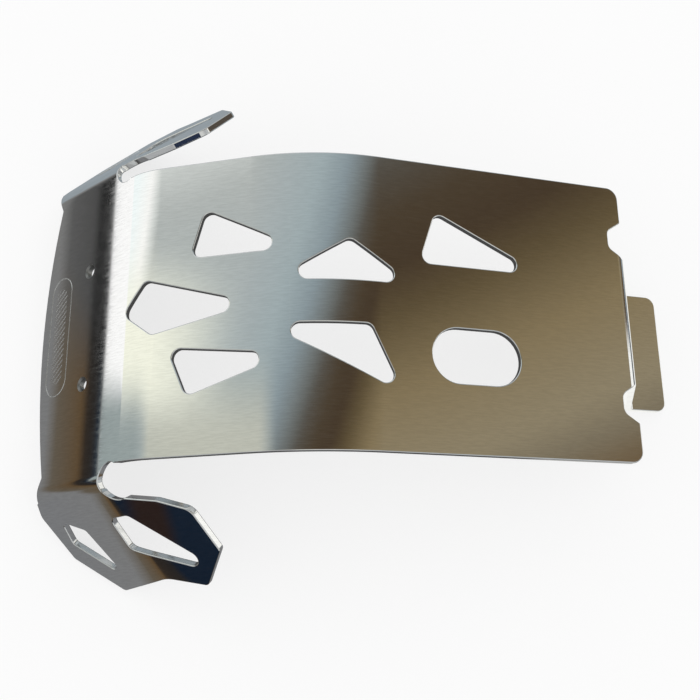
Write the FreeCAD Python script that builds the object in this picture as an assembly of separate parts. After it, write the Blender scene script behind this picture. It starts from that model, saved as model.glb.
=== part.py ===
import FreeCAD, Part
import math
import os

Vector = FreeCAD.Vector

# Sheet. Lengths are millimetres and angles are degrees.
sheet_thickness = 4.8
plate_half_width = 105.0

# Side profile of the outer face, from the rear edge to the front edge.
rear_panel_length = 190.0
middle_bend_radius = 168.0
middle_bend_angle = 31.0
lower_panel_length = 66.6
front_bend_radius = 60.0
front_bend_angle = 26.5
front_panel_side_length = 87.5
front_edge_crown = 13.0

# Hook at the rear edge.
hook_half_width = 48.5
hook_bend_setback = 5.0
hook_bend_radius = 8.5
hook_slope_angle = 60.0
hook_depth = 69.0
hook_length = 72.0
hook_corner_radius = 8.0

# Rear ears and the rounded notches beside the hook.
ear_corner_radius = 9.0
notch_depth = 11.4
notch_base_outer = 69.0
notch_base_inner = 56.0
notch_mouth_outer = 76.5
notch_base_radius = 6.0

# Wings: a bend beside the front panel and a soft fold across the wing.
wing_bend_offset = 13.0
wing_bend_angle = 44.0
wing_bend_radius = 16.0
wing_fold_line = 19.5
wing_fold_angle = 5.0
wing_fold_radius = 168.0
wing_edge_rise = 3.5
wing_front_step = 5.0
relief_centre = 6.5
relief_radius = 13.0

# Bolt holes of the front panel.
bolt_distance = 44.7
bolt_half_spacing = 43.0
bolt_hole_radius = 4.25
bolt_chamfer = 1.2

# Plain engraved oval line near the front edge.
oval_line_distance = 78.8
oval_line_length = 93.0
oval_line_height = 25.5
oval_line_width = 0.8
oval_line_depth = 0.3

# Oval opening.
oval_distance = 122.3
oval_offset = -37.0
oval_length = 65.0
oval_width = 39.0

# Cut-outs: corners as distance from the rear edge along the face and distance from the middle.
cutout_radius = 6.0
bend_cut_share = 0.27
lower_panel_cutouts = [
    [(323.4, 33.0), (313.5, 68.0), (246.4, 33.0)],
    [(374.5, -1.7), (356.5, 20.0), (276.0, -3.8), (350.0, -20.0)],
    [(337.5, -30.6), (251.5, -40.8), (323.0, -64.8)],
]
middle_bend_cutouts = [
    [(261.8, 11.3), (211.2, 41.5), (168.1, 11.3)],
    [(270.3, -19.2), (197.7, -19.2), (176.0, -66.1)],
]
rear_panel_cutouts = [
    [(161.8, 28.0), (149.0, 67.0), (68.0, 28.0)],
]

# Wing outline and openings: distance along the front panel and distance past the wing bend line.
wing_outline = [
    (96.0, 3.0, 0.0),
    (103.0, 18.0, 10.0),
    (98.0, 57.5, 6.0),
    (65.5, 90.5, 5.0),
    (13.0, 83.0, 25.0),
    (-19.5, 94.0, 4.0),
    (-48.5, 68.0, 4.0),
    (-45.5, 33.5, 9.0),
    (-22.5, 21.5, 12.0),
    (8.0, 13.0, 0.0),
    (16.0, 3.0, 0.0),
]
front_kite = [(83.5, 25.0), (87.5, 44.5), (53.5, 79.0), (63.5, 34.5)]
rear_kite = [(29.0, 28.0), (28.5, 54.5), (-43.0, 88.0), (10.5, 27.8)]
front_kite_radius = 4.0
rear_kite_radius = 6.0

# Cutting tools stand clear of the sheet by this reach, and joined areas share this overlap.
wing_bend_line = plate_half_width + wing_bend_offset
reach = plate_half_width - wing_bend_offset
overlap = sheet_thickness
rest_steps = 8
rest_mesh = 0.05
same_point = 1e-6


# Closed wire in a plane; each corner is a point and the radius it is rounded to.
def rounded_wire(corners):
    edges = []
    starts = []
    count = len(corners)
    for i in range(count):
        point, radius = corners[i]
        to_last = (corners[i - 1][0] - point).normalize()
        to_next = (corners[(i + 1) % count][0] - point).normalize()
        if radius <= 0:
            starts.append((point, point))
            continue
        half = to_last.getAngle(to_next) / 2
        tangent = radius / math.tan(half)
        bisector = (to_last + to_next).normalize()
        middle = point + bisector * (radius / math.sin(half) - radius)
        first = point + to_last * tangent
        last = point + to_next * tangent
        starts.append((first, last))
        edges.append(Part.Arc(first, middle, last).toShape())
    for i in range(count):
        first = starts[i][1]
        last = starts[(i + 1) % count][0]
        if first.distanceToPoint(last) > same_point:
            edges.append(Part.makeLine(first, last))
    return Part.Wire(Part.__sortEdges__(edges))


# A place on the outer face: origin, direction along the face and outward normal.
class Panel:
    def __init__(self, origin, along, normal):
        self.origin = origin
        self.along = along
        self.normal = normal
        self.across = normal.cross(along) * -1

    def point(self, distance, offset, depth=0.0):
        return self.origin + self.along * distance + self.across * offset - self.normal * depth

    def prism(self, corners, above, below):
        lifted = [(self.point(d, o, -above), r) for d, o, r in corners]
        face = Part.Face(rounded_wire(lifted))
        return face.extrude(self.normal * (-above - below))


# Walks along a folded section and collects its outer and inner edges.
class Profile:
    def __init__(self, start, along, normal):
        self.place = Panel(start, along, normal)
        self.outer = []
        self.inner = []

    def straight(self, length):
        place = self.place
        self.outer.append(Part.makeLine(place.point(0, 0), place.point(length, 0)))
        self.inner.append(
            Part.makeLine(place.point(0, 0, sheet_thickness), place.point(length, 0, sheet_thickness))
        )
        self.place = Panel(place.point(length, 0), place.along, place.normal)

    # A positive angle folds away from the outer face, with the radius on the outer side.
    def bend(self, radius, angle):
        place = self.place
        centre = place.origin - place.normal * math.copysign(radius, angle)
        axis = place.across * -1
        turn = FreeCAD.Rotation(axis, angle)
        half_turn = FreeCAD.Rotation(axis, angle / 2)
        inside = place.point(0, 0, sheet_thickness)
        ends = []
        for base in (place.origin, inside):
            arm = base - centre
            end = centre + turn.multVec(arm)
            ends.append((base, centre + half_turn.multVec(arm), end))
        self.outer.append(Part.Arc(*ends[0]).toShape())
        self.inner.append(Part.Arc(*ends[1]).toShape())
        self.place = Panel(ends[0][2], turn.multVec(place.along), turn.multVec(place.normal))

    # The section swept sideways between two offsets.
    def solid(self, first, last):
        across = self.place.across
        begin = Part.makeLine(self.outer[0].Vertexes[0].Point, self.inner[0].Vertexes[0].Point)
        end_outer = self.place.point(0, 0)
        end_inner = self.place.point(0, 0, sheet_thickness)
        edges = self.outer + self.inner + [begin, Part.makeLine(end_outer, end_inner)]
        face = Part.Face(Part.Wire(Part.__sortEdges__(edges)))
        face.translate(across * first)
        return face.extrude(across * (last - first))


forward = Vector(-1, 0, 0)
up = Vector(0, 0, 1)
rear_panel = Panel(Vector(0, 0, 0), forward, up)

# Main run: rear panel, middle bend, lower panel, front bend and the first part of the front panel.
run_start = notch_depth + notch_base_radius
main = Profile(rear_panel.point(run_start, 0), forward, up)
main.straight(rear_panel_length - run_start)
middle_bend_start = main.place
main.bend(middle_bend_radius, middle_bend_angle)
lower_panel = main.place
main.straight(lower_panel_length)
main.bend(front_bend_radius, front_bend_angle)
front_panel = main.place
main.straight(relief_centre)
plate = main.solid(-plate_half_width, plate_half_width)

middle_bend_arc = middle_bend_radius * math.radians(middle_bend_angle)
lower_panel_start = rear_panel_length + middle_bend_arc

# Ears of the rear panel.
ears = rear_panel.prism(
    [
        (0.0, -plate_half_width, ear_corner_radius),
        (0.0, plate_half_width, ear_corner_radius),
        (run_start + overlap, plate_half_width, 0.0),
        (run_start + overlap, -plate_half_width, 0.0),
    ],
    0.0,
    sheet_thickness,
)
between = rear_panel.prism(
    [
        (-reach, -notch_base_inner, 0.0),
        (-reach, notch_base_inner, 0.0),
        (run_start - overlap, notch_base_inner, 0.0),
        (run_start - overlap, -notch_base_inner, 0.0),
    ],
    reach,
    reach,
)
ears = ears.cut(between)

# Hook: a bend away from the outer face, a sloping riser and a tab parallel to the rear panel.
hook = Profile(rear_panel.point(run_start + overlap, 0), forward * -1, up)
hook.straight(run_start + overlap - hook_bend_setback)
hook.bend(hook_bend_radius, hook_slope_angle)
hook_root = hook.solid(-notch_base_inner, notch_base_inner)
slope = math.radians(hook_slope_angle)
back_radius = hook_bend_radius - sheet_thickness
bend_drop = (hook_bend_radius + back_radius) * (1 - math.cos(slope))
bend_run = (hook_bend_radius + back_radius) * math.sin(slope)
riser_length = (hook_depth - bend_drop) / math.sin(slope)
tab_length = hook_length + hook_bend_setback - bend_run - riser_length * math.cos(slope)
hook.straight(riser_length)
hook.bend(back_radius, -hook_slope_angle)
hook_tab = hook.place
hook.straight(tab_length)
hook_solid = hook.solid(-hook_half_width, hook_half_width)
tab_end = hook_tab.prism(
    [
        (-hook_length - reach, -hook_half_width, 0.0),
        (tab_length, -hook_half_width, hook_corner_radius),
        (tab_length, hook_half_width, hook_corner_radius),
        (-hook_length - reach, hook_half_width, 0.0),
    ],
    hook_depth + reach,
    reach,
)
hook_solid = hook_solid.common(tab_end)

# Front panel with its arched edge.
half_bend = math.radians(wing_bend_angle) / 2
wing_bend_start = wing_bend_line - wing_bend_radius * math.tan(half_bend)
edge_side = front_panel_side_length
edge_at_bend = edge_side + wing_edge_rise
edge_arc = Part.Arc(
    front_panel.point(edge_side, plate_half_width),
    front_panel.point(edge_side + front_edge_crown, 0),
    front_panel.point(edge_side, -plate_half_width),
).toShape()
outline = [edge_arc]
ring = [
    (edge_side, -plate_half_width),
    (edge_at_bend, -wing_bend_start),
    (relief_centre - overlap, -wing_bend_start),
    (relief_centre - overlap, wing_bend_start),
    (edge_at_bend, wing_bend_start),
    (edge_side, plate_half_width),
]
for i in range(len(ring) - 1):
    outline.append(Part.makeLine(front_panel.point(*ring[i]), front_panel.point(*ring[i + 1])))
front = Part.Face(Part.Wire(Part.__sortEdges__(outline))).extrude(front_panel.normal * -sheet_thickness)


# One wing: bend beside the front panel, then a panel with a soft fold.
def make_wing(side):
    outward = front_panel.across * side
    axis_point = front_panel.point(0, 0) + outward * wing_bend_start - front_panel.normal * wing_bend_radius
    axis = front_panel.along
    turn_sign = 1 if (axis.cross(front_panel.normal)).dot(outward) > 0 else -1
    turn = FreeCAD.Rotation(axis, wing_bend_angle * turn_sign)
    half_turn = FreeCAD.Rotation(axis, wing_bend_angle * turn_sign / 2)
    normal = turn.multVec(front_panel.normal)
    past_bend = turn.multVec(outward)
    bend_line = front_panel.point(0, 0) + outward * wing_bend_line

    # Bend, cut off along the step of the front edge.
    far = edge_at_bend + reach
    section = [
        front_panel.point(0, 0) + outward * wing_bend_start,
        front_panel.point(far, 0) + outward * wing_bend_start,
        front_panel.point(far, 0, sheet_thickness) + outward * wing_bend_start,
        front_panel.point(0, 0, sheet_thickness) + outward * wing_bend_start,
    ]
    strip = Part.Face(Part.makePolygon(section + [section[0]]))
    bend = strip.revolve(axis_point, axis, wing_bend_angle * turn_sign)
    tangent = wing_bend_radius * math.tan(half_bend)
    edge_first = front_panel.point(edge_at_bend, 0) + outward * wing_bend_start
    edge_last = bend_line + axis * (edge_at_bend + wing_front_step) + past_bend * tangent
    middle_normal = half_turn.multVec(front_panel.normal)
    edge_run = (edge_last - edge_first).normalize()
    cut_dir = edge_run.cross(middle_normal).normalize()
    if cut_dir.dot(axis) < 0:
        cut_dir = cut_dir * -1
    corners = [(0.0, -far, 0.0), (far, -far, 0.0), (far, far, 0.0), (0.0, far, 0.0)]
    beyond = Panel(edge_first, cut_dir, middle_normal).prism(corners, reach, reach)
    bend = bend.cut(beyond)

    # Panel: folded section swept outward from the bend, then cut to its outline.
    half_fold = math.radians(wing_fold_angle) / 2
    fold_tangent = wing_fold_radius * math.tan(half_fold)
    longest = front_panel_side_length + front_edge_crown + reach
    start = bend_line + axis * longest
    fold = Profile(start, axis * -1, normal)
    fold.straight(longest - wing_fold_line - fold_tangent)
    fold.bend(wing_fold_radius, wing_fold_angle)
    fold.straight(longest)
    sweep = fold.place.across
    way = 1 if sweep.dot(past_bend) > 0 else -1
    depth = max(point[1] for point in wing_outline) + reach
    sheet = fold.solid(way * tangent, way * depth)
    flat = Panel(bend_line, axis, normal)
    flip = 1 if flat.across.dot(past_bend) > 0 else -1
    drawn = []
    for distance, offset, radius in wing_outline:
        drawn.append((distance, flip * offset, radius))
    panel = sheet.common(flat.prism(drawn, reach, reach))
    wing = bend.fuse(panel)
    for kite, radius in ((front_kite, front_kite_radius), (rear_kite, rear_kite_radius)):
        hole = [(d, flip * o, radius) for d, o in kite]
        wing = wing.cut(flat.prism(hole, reach, reach))
    relief_base = bend_line + axis * relief_centre
    relief = Part.makeCylinder(relief_radius, 2 * reach, relief_base - middle_normal * reach, middle_normal)
    return wing, relief


wings = []
reliefs = []
for side in (-1, 1):
    wing, relief = make_wing(side)
    wings.append(wing)
    reliefs.append(relief)

guard = plate.fuse([ears, hook_root, hook_solid, front] + wings)

# Notches beside the hook.
for side in (-1, 1):
    notch = [
        (-overlap, side * notch_mouth_outer, 0.0),
        (0.0, side * notch_mouth_outer, 0.0),
        (notch_depth, side * notch_base_outer, notch_base_radius),
        (notch_depth, side * notch_base_inner, notch_base_radius),
        (0.0, side * hook_half_width, 0.0),
        (-overlap, side * hook_half_width, 0.0),
    ]
    guard = guard.cut(rear_panel.prism(notch, overlap, sheet_thickness + overlap))

for relief in reliefs:
    guard = guard.cut(relief)


def cut_through(shape, place, start, corners):
    moved = [(distance - start, offset, cutout_radius) for distance, offset in corners]
    return shape.cut(place.prism(moved, reach, reach))


# A slot with fully round ends.
def oval_prism(place, distance, offset, along, across, above, below):
    radius = min(along, across) / 2
    corners = []
    for sign_along, sign_across in ((-1, -1), (1, -1), (1, 1), (-1, 1)):
        corners.append((distance + sign_along * along / 2, offset + sign_across * across / 2, radius))
    return place.prism(corners, above, below)


for corners in lower_panel_cutouts:
    guard = cut_through(guard, lower_panel, lower_panel_start, corners)
for corners in rear_panel_cutouts:
    guard = cut_through(guard, rear_panel, 0.0, corners)

# The two cut-outs on the middle bend are cut square to the face at one share of the bend.
bend_place = Profile(middle_bend_start.origin, middle_bend_start.along, middle_bend_start.normal)
cut_angle = middle_bend_angle * bend_cut_share
bend_place.bend(middle_bend_radius, cut_angle)
cut_start = rear_panel_length + middle_bend_radius * math.radians(cut_angle)
for corners in middle_bend_cutouts:
    guard = cut_through(guard, bend_place.place, cut_start, corners)

# Bolt holes with a broken outer edge.
for side in (-1, 1):
    mouth = front_panel.point(bolt_distance, side * bolt_half_spacing)
    inward = front_panel.normal * -1
    guard = guard.cut(Part.makeCylinder(bolt_hole_radius, 2 * sheet_thickness, mouth, inward))
    mouth_radius = bolt_hole_radius + bolt_chamfer
    guard = guard.cut(Part.makeCone(mouth_radius, bolt_hole_radius, bolt_chamfer, mouth, inward))

# Oval opening and the engraved oval line.
guard = guard.cut(oval_prism(rear_panel, oval_distance, oval_offset, oval_length, oval_width, reach, reach))
ring_outside = oval_prism(
    front_panel, oval_line_distance, 0.0, oval_line_height, oval_line_length, overlap, oval_line_depth
)
ring_inside = oval_prism(
    front_panel,
    oval_line_distance,
    0.0,
    oval_line_height - 2 * oval_line_width,
    oval_line_length - 2 * oval_line_width,
    overlap,
    oval_line_depth,
)
guard = guard.cut(ring_outside.cut(ring_inside))
guard = guard.removeSplitter()

# Lay the guard outer face up, so that it stands on its wings and its tab.
tilt = 0.0
length = hook_length - guard.BoundBox.XMin
for step in range(rest_steps):
    turned = guard.copy()
    turned.rotate(Vector(0, 0, 0), Vector(0, 1, 0), tilt)
    points = turned.tessellate(rest_mesh)[0]
    front_low = min(p.z for p in points if p.x < -rear_panel_length)
    rear_low = min(p.z for p in points if p.x > 0)
    tilt += math.degrees(math.atan2(rear_low - front_low, length))
guard.rotate(Vector(0, 0, 0), Vector(0, 1, 0), tilt)
points = guard.tessellate(rest_mesh)[0]
low = min(p.z for p in points)
rear_end = max(p.x for p in points)
front_end = min(p.x for p in points)
shift = Vector(-(rear_end + front_end) / 2, 0, -low)
guard.translate(shift)

os.makedirs("parts", exist_ok=True)
guard.Solids[0].exportStep("parts/guard_plate.step")
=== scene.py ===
import math
import bmesh
import bpy
from mathutils import Euler, Matrix, Vector


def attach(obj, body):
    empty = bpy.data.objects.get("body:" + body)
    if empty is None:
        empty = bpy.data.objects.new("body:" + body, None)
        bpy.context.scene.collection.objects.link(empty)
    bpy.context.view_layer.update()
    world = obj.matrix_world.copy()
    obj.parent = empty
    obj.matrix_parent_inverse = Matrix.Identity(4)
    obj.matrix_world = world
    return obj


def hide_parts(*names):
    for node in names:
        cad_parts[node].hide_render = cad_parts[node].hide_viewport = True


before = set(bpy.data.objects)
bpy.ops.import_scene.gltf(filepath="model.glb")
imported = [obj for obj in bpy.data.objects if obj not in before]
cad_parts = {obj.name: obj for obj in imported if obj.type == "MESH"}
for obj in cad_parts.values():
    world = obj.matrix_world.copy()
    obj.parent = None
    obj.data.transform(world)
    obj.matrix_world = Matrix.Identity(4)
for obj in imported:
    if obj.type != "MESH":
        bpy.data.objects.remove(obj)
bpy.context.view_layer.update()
scene = bpy.context.scene
print("frame loaded")

guard = {
    "thickness": 0.0048,
    "panelStart": (-0.17103, 0.0, 0.09879),  # on the outer face, where the front bend meets the front panel
    "rearLeanDeg": 13.9276,  # lean of the rear panel's normal to +X
    "middleRadius": 0.168,
    "middleDeg": 31.0,
    "lowerLength": 0.0666,  # flat between the middle bend and the front bend
    "frontRadius": 0.060,
    "frontDeg": 26.5,
    "wingLine": 0.118,  # from the middle out to the wing bend
    "wingRadius": 0.016,
    "wingDeg": 44.0,
    "foldLine": 0.0195,  # down the front panel to the wing's fold
    "foldRadius": 0.168,
    "foldDeg": 5.0,
    "boltAt": 0.0447,  # down the front panel
    "boltSide": 0.043,
    "boltClear": 0.009,  # edges this near to a bolt hole stay sharp
    "lineAt": 0.0788,  # engraved oval line, down the front panel
    "lineLength": 0.0922,
    "lineWidth": 0.0247,
    "lineClear": 0.002,  # edges this near to the line stay sharp
    "edgeWidth": 0.0008,
    "edgeSegments": 2,
    "edgeProfile": 0.5,
    "edgeDeg": 35.0,  # edges sharper than this are rounded
    "flatDeg": 0.3,
    "smoothDeg": 30.0,
    "facetDeg": 6.0,  # how far a facet may lean from the round face it is part of
    "slack": 0.0003,  # how far a point may lie off a round face
    "weld": 0.00001,
    "tinyFace": 8e-7,  # slivers and their edges stay as they are
    "mainShare": 0.75,  # a face with this share of the area around a corner sets its normal
}
across = Vector((0.0, 1.0, 0.0))


def leaning(degrees):  # a normal in the middle plane, leaning to +X
    angle = math.radians(degrees)
    return Vector((math.sin(angle), 0.0, math.cos(angle)))


panelStart = Vector(guard["panelStart"])
panelOut = leaning(guard["rearLeanDeg"] - guard["middleDeg"] - guard["frontDeg"])
panelAlong = panelOut.cross(across)


def makeBends():  # centre, axis, outer radius, middle normal and spread of each round face
    lowerLean = guard["rearLeanDeg"] - guard["middleDeg"]
    lowerOut = leaning(lowerLean)
    frontCentre = panelStart - panelOut * guard["frontRadius"]
    middleCentre = frontCentre + lowerOut * (guard["frontRadius"] - guard["middleRadius"])
    middleCentre += across.cross(lowerOut) * guard["lowerLength"]
    middleOut = leaning(lowerLean + guard["middleDeg"] / 2)
    frontOut = leaning(lowerLean - guard["frontDeg"] / 2)
    found = [
        (middleCentre, across, guard["middleRadius"], middleOut, guard["middleDeg"]),
        (frontCentre, across, guard["frontRadius"], frontOut, guard["frontDeg"]),
    ]
    lean = math.radians(guard["wingDeg"])
    half = math.radians(guard["foldDeg"] / 2)
    wingStart = guard["wingLine"] - guard["wingRadius"] * math.tan(lean / 2)
    foldStart = guard["foldLine"] + guard["foldRadius"] * math.tan(half)
    for outward in (across, -across):
        bendOut = panelOut * math.cos(lean / 2) + outward * math.sin(lean / 2)
        wingOut = panelOut * math.cos(lean) + outward * math.sin(lean)
        wingAlong = outward * math.cos(lean) - panelOut * math.sin(lean)
        foldOut = wingOut * math.cos(half) - panelAlong * math.sin(half)
        wingCentre = panelStart + outward * wingStart - panelOut * guard["wingRadius"]
        foldCentre = panelStart + outward * guard["wingLine"] + panelAlong * foldStart
        foldCentre -= wingOut * guard["foldRadius"]
        found.append((wingCentre, panelAlong, guard["wingRadius"], bendOut, guard["wingDeg"]))
        found.append((foldCentre, wingAlong, guard["foldRadius"], foldOut, guard["foldDeg"]))
    return found


def bendNormal(point, faceNormal, bends):
    leastDot = math.cos(math.radians(guard["facetDeg"]))
    for centre, axis, radius, middle, spread in bends:
        arm = point - centre
        arm -= axis * arm.dot(axis)
        off = min(abs(arm.length - radius), abs(arm.length - radius + guard["thickness"]))
        arm.normalize()
        inside = math.degrees(arm.angle(middle)) < spread / 2
        if off < guard["slack"] and inside and abs(arm.dot(faceNormal)) > leastDot:
            return arm if arm.dot(faceNormal) > 0 else -arm
    return None


def nearMark(point):  # the bolt holes and the engraved line
    down = (point - panelStart).dot(panelAlong)
    aside = abs(point.y)
    nearBolt = math.hypot(down - guard["boltAt"], aside - guard["boltSide"]) < guard["boltClear"]
    beside = abs(down - guard["lineAt"]) < guard["lineWidth"] / 2 + guard["lineClear"]
    nearLine = beside and aside < guard["lineLength"] / 2 + guard["lineClear"]
    onPanel = abs((point - panelStart).dot(panelOut)) < 2 * guard["thickness"]
    return onPanel and (nearBolt or nearLine)


def isRounded(edge):
    if not edge.is_manifold or edge.calc_face_angle() < math.radians(guard["edgeDeg"]):
        return False
    tiny = any(face.calc_area() < guard["tinyFace"] for face in edge.link_faces)
    return not tiny and not nearMark((edge.verts[0].co + edge.verts[1].co) / 2)


def roundedMesh(node):
    bm = bmesh.new()
    bm.from_mesh(node.data)
    bmesh.ops.remove_doubles(bm, verts=bm.verts, dist=guard["weld"])
    flat = math.radians(guard["flatDeg"])
    bmesh.ops.dissolve_limit(bm, angle_limit=flat, verts=bm.verts, edges=bm.edges)
    made = bmesh.ops.bevel(
        bm,
        geom=[edge for edge in bm.edges if isRounded(edge)],
        offset=guard["edgeWidth"],
        segments=guard["edgeSegments"],
        profile=guard["edgeProfile"],
        affect="EDGES",
        clamp_overlap=False,
    )
    bmesh.ops.remove_doubles(bm, verts=bm.verts, dist=guard["weld"])
    bm.faces.index_update()
    rounds = {face.index for face in made["faces"] if face.is_valid}
    mesh = bpy.data.meshes.new("guardPlate")
    bm.to_mesh(mesh)
    bm.free()
    return mesh, rounds


def setNormals(mesh, rounds):  # true normals on the bends, flat ones on the panels
    bends = makeBends()
    mesh.shade_smooth()
    around = [[] for vertex in mesh.vertices]
    for face in mesh.polygons:
        for index in face.vertices:
            around[index].append(face)
    limit = math.cos(math.radians(guard["smoothDeg"]))

    def faceNormalAt(face, index, flats):
        exact = bendNormal(mesh.vertices[index].co, face.normal, bends)
        if exact:
            return exact
        near = [other for other in flats if other.normal.dot(face.normal) > limit]
        largest = max(near, key=lambda other: other.area)
        if largest.area > guard["mainShare"] * sum(other.area for other in near):
            return largest.normal
        return sum((other.normal for other in near), Vector()).normalized()

    normals = []
    for face in mesh.polygons:
        for index in face.vertices:
            flats = [other for other in around[index] if other.index not in rounds]
            if face.index not in rounds:
                normals.append(faceNormalAt(face, index, flats))
            elif flats:
                largest = max(flats, key=lambda other: other.area)
                normals.append(faceNormalAt(largest, index, flats))
            else:
                normals.append(sum((other.normal for other in around[index]), Vector()).normalized())
    mesh.normals_split_custom_set(normals)


plateMesh, roundFaces = roundedMesh(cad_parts["guard_plate"])
setNormals(plateMesh, roundFaces)
plate = bpy.data.objects.new("guardPlate", plateMesh)
scene.collection.objects.link(plate)
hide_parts("guard_plate")
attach(plate, "root")
print("plate edges rounded", len(plateMesh.polygons))


def link(tree, value, socket):  # a link, or a constant on the socket itself
    if isinstance(value, bpy.types.NodeSocket):
        tree.links.new(value, socket)
    else:
        socket.default_value = value


def calculate(tree, operation, first, second=0.0):
    node = tree.nodes.new("ShaderNodeMath")
    node.operation = operation
    link(tree, first, node.inputs[0])
    link(tree, second, node.inputs[1])
    return node.outputs["Value"]


def vectorMath(tree, operation, first, second, output):
    node = tree.nodes.new("ShaderNodeVectorMath")
    node.operation = operation
    link(tree, first, node.inputs[0])
    link(tree, second, node.inputs[1])
    return node.outputs[output]


def slope(tree, value, start, end, atStart, atEnd):
    node = tree.nodes.new("ShaderNodeMapRange")
    node.interpolation_type = "SMOOTHSTEP"
    tree.links.new(value, node.inputs["Value"])
    for name, number in (("From Min", start), ("From Max", end), ("To Min", atStart), ("To Max", atEnd)):
        node.inputs[name].default_value = number
    return node.outputs["Result"]


def mixColour(tree, share, first, second):
    node = tree.nodes.new("ShaderNodeMix")
    node.data_type = "RGBA"
    tree.links.new(share, node.inputs["Factor"])
    ends = [socket for socket in node.inputs if socket.type == "RGBA"]
    link(tree, first, ends[0])
    link(tree, second, ends[1])
    return next(socket for socket in node.outputs if socket.type == "RGBA")


def mixShader(tree, share, first, second):
    node = tree.nodes.new("ShaderNodeMixShader")
    link(tree, share, node.inputs["Fac"])
    ends = [socket for socket in node.inputs if socket.type == "SHADER"]
    tree.links.new(first, ends[0])
    tree.links.new(second, ends[1])
    return node.outputs["Shader"]


metal = {
    "colour": (0.96, 0.96, 0.95, 1.0),
    "roughness": 0.055,
    "anisotropic": 0.8,
    "streakColour": (0.89, 0.89, 0.88, 1.0),  # faint brushed streaks
    "streakAcross": 1000.0,  # streaks and grains to a metre
    "streakAlong": 130.0,
    "grainAcross": 2600.0,  # fine brushing, in the roughness
    "grainAlong": 90.0,
    "grainStrength": 0.025,
    "brushDetail": 3.0,
    "brushLow": 0.3,
    "brushHigh": 0.7,
    "fieldLength": 0.076,  # hatched field inside the engraved line
    "fieldWidth": 0.0155,
    "fieldSoft": 0.0015,
    "hatchPitch": 0.0042,
    "hatchSlant": 0.75,
    "hatchLow": 0.1,
    "hatchHigh": 0.8,
    "hatchRough": 0.3,
    "lineHalf": 0.0006,  # half of the dull strip along the engraved line
    "lineRough": 0.35,
    "seatRadius": 0.0055,  # broken edge of a bolt hole, rougher, and darkened there with painted shade
    "seatSoft": 0.0001,
    "seatRough": 0.25,
    # painted shade in each bolt hole, put into the broken edge's colour
    "seatShadeColour": (0.3, 0.3, 0.29, 1.0),
    "backClear": 0.0001,  # marks stop this far above the back of the sheet
    "backSoft": 0.0002,
}


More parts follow.
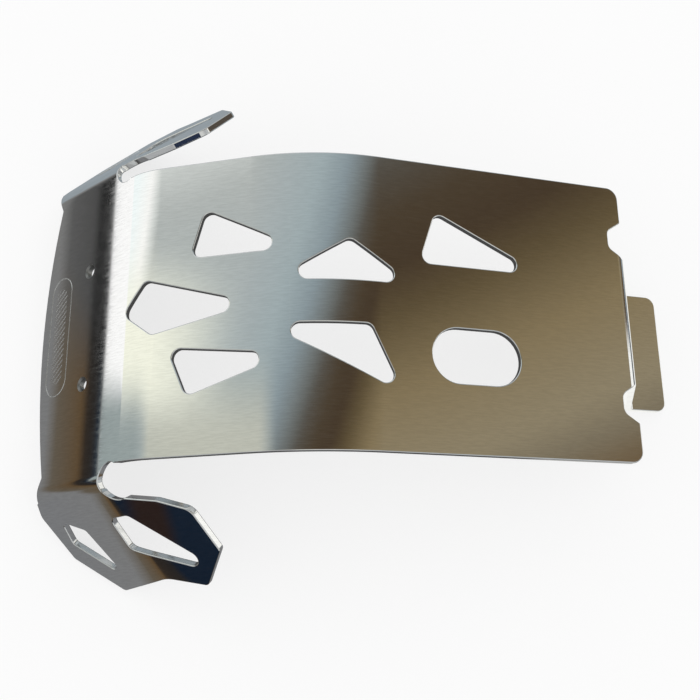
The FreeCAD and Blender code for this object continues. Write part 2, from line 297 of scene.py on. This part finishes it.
def makeMetal(values):
    mat = bpy.data.materials.new("brushedSheet")
    mat.use_nodes = True
    tree = mat.node_tree
    shader = tree.nodes["Principled BSDF"]
    shader.inputs["Metallic"].default_value = 1.0
    shader.inputs["Anisotropic"].default_value = values["anisotropic"]
    tangent = tree.nodes.new("ShaderNodeCombineXYZ")
    tangent.inputs["Y"].default_value = 1.0
    tree.links.new(tangent.outputs["Vector"], shader.inputs["Tangent"])
    place = tree.nodes.new("ShaderNodeTexCoord").outputs["Object"]

    def brushed(scaleAcross, scaleAlong):
        stretch = tree.nodes.new("ShaderNodeMapping")
        stretch.inputs["Scale"].default_value = (scaleAlong, scaleAcross, scaleAlong)
        tree.links.new(place, stretch.inputs["Vector"])
        grain = tree.nodes.new("ShaderNodeTexNoise")
        grain.inputs["Scale"].default_value = 1.0
        grain.inputs["Detail"].default_value = values["brushDetail"]
        tree.links.new(stretch.outputs["Vector"], grain.inputs["Vector"])
        return slope(tree, grain.outputs["Fac"], values["brushLow"], values["brushHigh"], 0.0, 1.0)

    fine = brushed(values["grainAcross"], values["grainAlong"])
    change = calculate(tree, "MULTIPLY", fine, 2 * values["grainStrength"])
    rough = calculate(tree, "ADD", change, values["roughness"] - values["grainStrength"])
    streaks = brushed(values["streakAcross"], values["streakAlong"])
    colour = mixColour(tree, streaks, values["colour"], values["streakColour"])

    fromStart = vectorMath(tree, "SUBTRACT", place, panelStart, "Vector")
    along = vectorMath(tree, "DOT_PRODUCT", fromStart, panelAlong, "Value")
    height = vectorMath(tree, "DOT_PRODUCT", fromStart, panelOut, "Value")
    sideways = vectorMath(tree, "DOT_PRODUCT", place, across, "Value")
    aside = calculate(tree, "ABSOLUTE", sideways)
    back = values["backClear"] - guard["thickness"]
    outer = slope(tree, height, back, back + values["backSoft"], 0.0, 1.0)

    def distance(down, over):
        downSquare = calculate(tree, "MULTIPLY", down, down)
        overSquare = calculate(tree, "MULTIPLY", over, over)
        return calculate(tree, "SQRT", calculate(tree, "ADD", downSquare, overSquare))

    def ovalDistance(length, width):  # from the straight spine of an oval
        down = calculate(tree, "SUBTRACT", along, guard["lineAt"])
        over = calculate(tree, "SUBTRACT", aside, (length - width) / 2)
        return distance(down, calculate(tree, "MAXIMUM", over, 0.0))

    def mark(far, full, end):
        return calculate(tree, "MULTIPLY", slope(tree, far, full, end, 1.0, 0.0), outer)

    def roughen(before, mask, amount):
        return calculate(tree, "ADD", before, calculate(tree, "MULTIPLY", mask, amount))

    fieldEdge = values["fieldWidth"] / 2
    fieldFar = ovalDistance(values["fieldLength"], values["fieldWidth"])
    field = mark(fieldFar, fieldEdge - values["fieldSoft"], fieldEdge)
    slanted = calculate(tree, "ADD", calculate(tree, "MULTIPLY", along, values["hatchSlant"]), sideways)
    wave = calculate(tree, "SINE", calculate(tree, "MULTIPLY", slanted, 2 * math.pi / values["hatchPitch"]))
    hatch = slope(tree, wave, values["hatchLow"], values["hatchHigh"], 0.0, values["hatchRough"])
    rough = roughen(rough, field, hatch)

    lineFar = ovalDistance(guard["lineLength"], guard["lineWidth"])
    fromLine = calculate(tree, "ABSOLUTE", calculate(tree, "SUBTRACT", lineFar, guard["lineWidth"] / 2))
    line = mark(fromLine, values["lineHalf"] / 2, values["lineHalf"])
    rough = roughen(rough, line, values["lineRough"])

    boltDown = calculate(tree, "SUBTRACT", along, guard["boltAt"])
    boltOver = calculate(tree, "SUBTRACT", aside, guard["boltSide"])
    boltFar = distance(boltDown, boltOver)
    seatRoughAndShade = mark(boltFar, values["seatRadius"] - values["seatSoft"], values["seatRadius"])
    rough = roughen(rough, seatRoughAndShade, values["seatRough"])
    tree.links.new(rough, shader.inputs["Roughness"])
    # painted shade: the broken edge round each bolt hole is darkened in colour
    tree.links.new(mixColour(tree, seatRoughAndShade, colour, values["seatShadeColour"]), shader.inputs["Base Color"])
    return mat


plate.data.materials.clear()
plate.data.materials.append(makeMetal(metal))
print("metal made")


def fillRamp(tree, value, low, high, stops):
    span = tree.nodes.new("ShaderNodeMapRange")
    span.inputs["From Min"].default_value = low
    span.inputs["From Max"].default_value = high
    tree.links.new(value, span.inputs["Value"])
    ramp = tree.nodes.new("ShaderNodeValToRGB")
    tree.links.new(span.outputs["Result"], ramp.inputs["Fac"])
    bands = ramp.color_ramp.elements
    while len(bands) < len(stops):
        bands.new(1.0)
    for band, (at, colour) in zip(bands, stops):
        band.position = (at - low) / (high - low)
        band.color = (*colour, 1.0)
    return ramp.outputs["Color"]


def addPanel(tree, under, limits, colour):
    weight = 1.0
    for value, (start, full, leave, end) in limits:
        weight = calculate(tree, "MULTIPLY", slope(tree, value, start, full, 0.0, 1.0), weight)
        weight = calculate(tree, "MULTIPLY", slope(tree, value, leave, end, 1.0, 0.0), weight)
    return mixColour(tree, weight, under, (*colour, 1.0))


surround = {
    "daylight": (1.0, 1.0, 1.0, 1.0),
    "slant": 2.8,  # how fast the bands turn with the lean to +Y
    "low": -2.8,
    "high": 0.8,
    "stops": [  # bands from the left to the right of the room: place in radians, then colour
        (-2.7, (0.93, 1.0, 1.0)),
        (-2.28, (1.0, 1.0, 0.98)),
        (-2.08, (0.68, 0.71, 0.69)),
        (-1.93, (0.45, 0.48, 0.47)),
        (-1.6, (0.4, 0.45, 0.46)),
        (-1.3, (0.36, 0.43, 0.45)),
        (-1.05, (0.26, 0.32, 0.35)),
        (-0.88, (0.17, 0.19, 0.19)),
        (-0.74, (0.09, 0.08, 0.065)),
        (-0.6, (0.07, 0.05, 0.03)),
        (-0.45, (0.06, 0.04, 0.024)),
        (-0.32, (0.11, 0.08, 0.04)),
        (-0.1, (0.24, 0.185, 0.1)),
        (0.15, (0.28, 0.235, 0.152)),
        (0.26, (0.2, 0.17, 0.117)),
        (0.37, (0.15, 0.1, 0.05)),
        (0.6, (0.05, 0.035, 0.022)),
    ],
    "panels": [  # soft panels: start, full, leave and end of the turn about Y, then of the lean to +Y
        {"turn": (-4.0, -3.9, 3.9, 4.0), "lean": (0.52, 0.8, 2.0, 2.1), "colour": (0.45, 0.47, 0.48)},
        {"turn": (-1.4, -0.7, -0.2, 0.5), "lean": (0.52, 0.7, 2.0, 2.1), "colour": (0.66, 0.68, 0.69)},
        {"turn": (-4.0, -3.9, 3.9, 4.0), "lean": (-2.1, -2.0, -0.3, 0.1), "colour": (0.4, 0.41, 0.42)},
        {"turn": (-1.0, -0.4, 0.2, 0.8), "lean": (-2.1, -2.0, -0.35, 0.0), "colour": (0.62, 0.63, 0.62)},
        {
            "turn": (-0.7, -0.53, -0.35, -0.2),
            "lean": (-0.95, -0.8, -0.69, -0.6),
            "colour": (0.02, 0.03, 0.06),
        },
        {"turn": (1.1, 1.25, 1.5, 1.65), "lean": (0.35, 0.39, 0.46, 0.52), "colour": (0.08, 0.068, 0.056)},
        {"turn": (-1.1, -0.7, -0.55, -0.35), "lean": (-0.2, -0.1, 0.2, 0.3), "colour": (0.53, 0.54, 0.47)},
        {"turn": (-4.0, -3.9, -0.77, -0.64), "lean": (0.2, 0.26, 0.31, 0.4), "colour": (0.95, 0.96, 0.82)},
        {"turn": (-4.0, -3.9, -1.2, -0.7), "lean": (-0.2, -0.1, 0.2, 0.28), "colour": (0.31, 0.36, 0.36)},
        {"turn": (0.5, 0.9, 3.9, 4.0), "lean": (-1.2, -1.1, 0.06, 0.14), "colour": (0.5, 0.52, 0.53)},
        {"turn": (0.95, 1.1, 3.9, 4.0), "lean": (0.06, 0.14, 0.27, 0.31), "colour": (1.0, 1.0, 0.97)},
    ],
}


def makeSurround(values):
    world = bpy.data.worlds.new("studio")
    world.use_nodes = True
    tree = world.node_tree
    way = tree.nodes.new("ShaderNodeSeparateXYZ")
    tree.links.new(tree.nodes.new("ShaderNodeTexCoord").outputs["Generated"], way.inputs["Vector"])
    turn = calculate(tree, "ARCTAN2", way.outputs["X"], way.outputs["Z"])
    lean = way.outputs["Y"]
    slanted = calculate(tree, "SUBTRACT", turn, calculate(tree, "MULTIPLY", lean, values["slant"]))
    room = fillRamp(tree, slanted, values["low"], values["high"], values["stops"])
    for panel in values["panels"]:
        room = addPanel(tree, room, [(turn, panel["turn"]), (lean, panel["lean"])], panel["colour"])
    mirrored = tree.nodes.new("ShaderNodeLightPath").outputs["Is Glossy Ray"]
    sky = mixColour(tree, mirrored, values["daylight"], room)
    tree.links.new(sky, tree.nodes["Background"].inputs["Color"])
    return world


scene.world = makeSurround(surround)
print("surroundings made")

table = {
    "size": 6.0,
    "colour": (0.93, 0.93, 0.93, 1.0),
    "roughness": 0.9,
    "glow": 0.7,  # share of plain white in what the camera sees
    "matX": 0.445,  # painted reflection, glowing for mirrored rays only: grey mat, then a brown border, then a dark gap, then white
    "matY": 0.222,
    "borderX": 0.19,
    "borderY": 0.063,
    "darkest": 1.4,  # along Y the bands end in the dark gap
    "low": -2.0,
    "high": 2.0,
    "stops": [  # place in border widths past the mat's edge, then colour
        # painted shadow under the plate, seen only in mirrored rays
        (-1.4, (0.06, 0.06, 0.06)),
        (-1.15, (0.19, 0.195, 0.205)),
        (-0.15, (0.195, 0.197, 0.2)),
        (0.1, (0.12, 0.1, 0.075)),
        (0.75, (0.11, 0.07, 0.035)),
        (0.97, (0.026, 0.02, 0.016)),
        (1.25, (0.02, 0.018, 0.017)),
        (1.38, (0.006, 0.013, 0.027)),
        (1.47, (0.01, 0.015, 0.025)),
        (1.54, (1.02, 1.02, 1.0)),
    ],
    "greyFrom": 0.03,  # the border loses its brown to +Y
    "greyTo": 0.17,
    "panels": [  # soft patches of painted reflection: start, full, leave and end along X, then along Y plus the shear times X
        {"x": (-0.4, -0.33, 2.9, 3.0), "y": (0.11, 0.15, 2.9, 3.0), "colour": (0.3, 0.34, 0.37)},
        {
            "x": (-3.1, -3.05, -0.74, -0.72),
            "y": (-9.0, -8.0, -0.13, -0.05),
            "shear": 0.25,
            "colour": (0.31, 0.36, 0.36),
        },
        {
            "x": (-2.6, -1.3, -0.74, -0.72),
            "y": (-9.0, -8.0, -0.34, -0.27),
            "shear": 0.25,
            "colour": (0.04, 0.03, 0.022),
        },
        {
            "x": (-0.6, -0.5, -0.3, -0.26),
            "y": (-0.18, -0.155, -0.13, -0.1),
            "shear": -0.59,
            "colour": (0.022, 0.013, 0.011),
        },
        {"x": (0.2, 0.35, 2.9, 3.0), "y": (-9.0, -8.0, -0.3, -0.14), "colour": (0.36, 0.37, 0.38)},
        # painted highlight: a bright glowing patch under the rear hook, for its bend to mirror
        {"x": (0.12, 0.15, 0.34, 0.4), "y": (-0.14, -0.1, 0.1, 0.14), "colour": (0.95, 0.95, 0.92)},
    ],
}


def makeFloorMat(values):
    mat = bpy.data.materials.new("paleFloor")
    mat.use_nodes = True
    tree = mat.node_tree
    pale = tree.nodes["Principled BSDF"]
    pale.inputs["Base Color"].default_value = values["colour"]
    pale.inputs["Roughness"].default_value = values["roughness"]
    pale.inputs["Specular IOR Level"].default_value = 0.0
    glow = tree.nodes.new("ShaderNodeEmission")
    seen = mixShader(tree, values["glow"], pale.outputs["BSDF"], glow.outputs["Emission"])
    spot = tree.nodes.new("ShaderNodeSeparateXYZ")
    tree.links.new(tree.nodes.new("ShaderNodeTexCoord").outputs["Object"], spot.inputs["Vector"])
    spotX, spotY = spot.outputs["X"], spot.outputs["Y"]

    def bandsFrom(value, edge, border):
        return calculate(tree, "DIVIDE", calculate(tree, "SUBTRACT", -edge, value), border)

    bandsX = bandsFrom(spotX, values["matX"], values["borderX"])
    bandsY = bandsFrom(spotY, values["matY"], values["borderY"])
    bandsY = calculate(tree, "MINIMUM", bandsY, values["darkest"])
    farthest = calculate(tree, "MAXIMUM", bandsX, bandsY)
    bands = fillRamp(tree, farthest, values["low"], values["high"], values["stops"])
    grey = tree.nodes.new("ShaderNodeRGBToBW")
    tree.links.new(bands, grey.inputs["Color"])
    fade = slope(tree, spotY, values["greyFrom"], values["greyTo"], 0.0, 1.0)
    bands = mixColour(tree, fade, bands, grey.outputs["Val"])
    for panel in values["panels"]:
        sideStep = calculate(tree, "MULTIPLY", spotX, panel.get("shear", 0.0))
        sheared = calculate(tree, "ADD", spotY, sideStep)
        bands = addPanel(tree, bands, [(spotX, panel["x"]), (sheared, panel["y"])], panel["colour"])
    # mirrored rays see these bands glowing instead of the lit floor: painted reflection, with painted
    # shadow under the plate
    mirrored = tree.nodes.new("ShaderNodeEmission")
    tree.links.new(bands, mirrored.inputs["Color"])
    glossy = tree.nodes.new("ShaderNodeLightPath").outputs["Is Glossy Ray"]
    surface = mixShader(tree, glossy, seen, mirrored.outputs["Emission"])
    tree.links.new(surface, tree.nodes["Material Output"].inputs["Surface"])
    return mat


bpy.ops.mesh.primitive_plane_add(size=table["size"], location=(0, 0, 0))
floor = bpy.context.object
floor.name = "floor"
floor.data.materials.append(makeFloorMat(table))
print("floor made")

shot = {
    "place": (-0.04964, -0.22044, 0.73063),
    "turnDeg": (17.09044, -3.02606, -0.73042),
    "lens": 48.892,
    "sensorWidth": 36.0,
    "clipStart": 0.01,
}
camData = bpy.data.cameras.new("photoView")
camData.lens = shot["lens"]
camData.sensor_width = shot["sensorWidth"]
camData.clip_start = shot["clipStart"]
cam = bpy.data.objects.new("photoView", camData)
scene.collection.objects.link(cam)
turned = Euler([math.radians(angle) for angle in shot["turnDeg"]])
cam.matrix_world = Matrix.LocRotScale(Vector(shot["place"]), turned, None)
scene.camera = cam
scene.view_settings.view_transform = "Standard"

print("view set")
